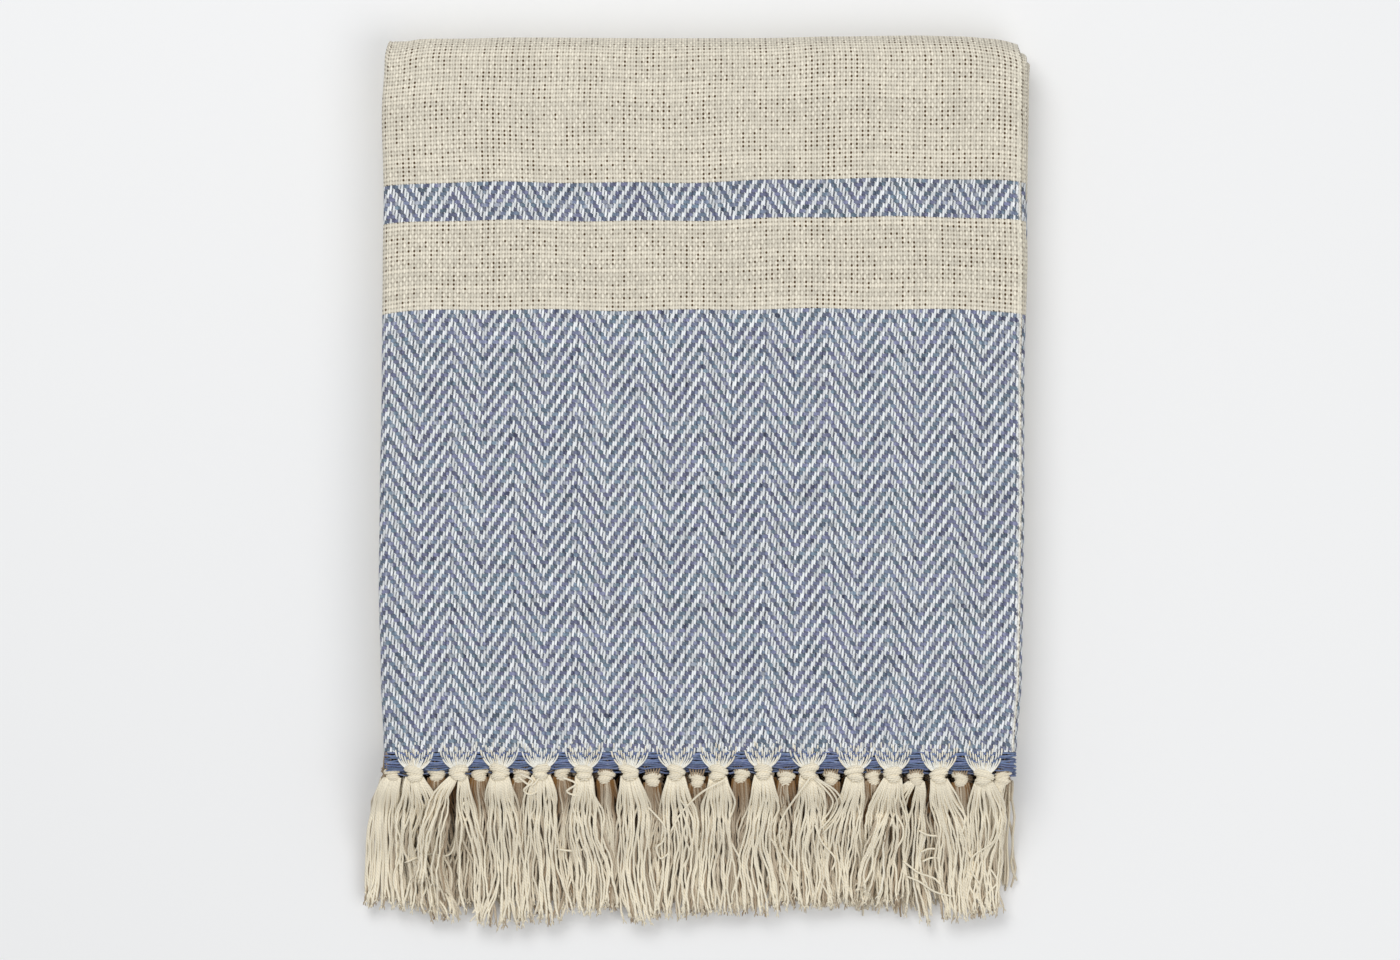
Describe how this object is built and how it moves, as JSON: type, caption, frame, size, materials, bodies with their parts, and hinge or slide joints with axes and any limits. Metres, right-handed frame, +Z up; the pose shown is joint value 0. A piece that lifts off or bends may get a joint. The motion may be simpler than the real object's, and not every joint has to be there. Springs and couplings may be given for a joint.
{
  "type": "throw blanket",
  "caption": "Folded woven cotton throw blanket with blue herringbone stripes on cream and a knotted fringe at both ends.",
  "frame": {"origin": "on the floor, under the middle of the whole footprint, fringe included", "axes": "+Z up through the folded layers, +Y from the fringe towards the top fold, +X towards the selvedge side"},
  "size_m": [0.3392, 0.4564, 0.038],
  "materials": {
    "cloth": "matt woven cotton",
    "fringe": "matt twisted cotton yarn"
  },
  "bodies": {
    "root": {"cloth": "cloth", "fringe_end_a": "fringe", "fringe_end_b": "fringe"}
  },
  "joints": []
}
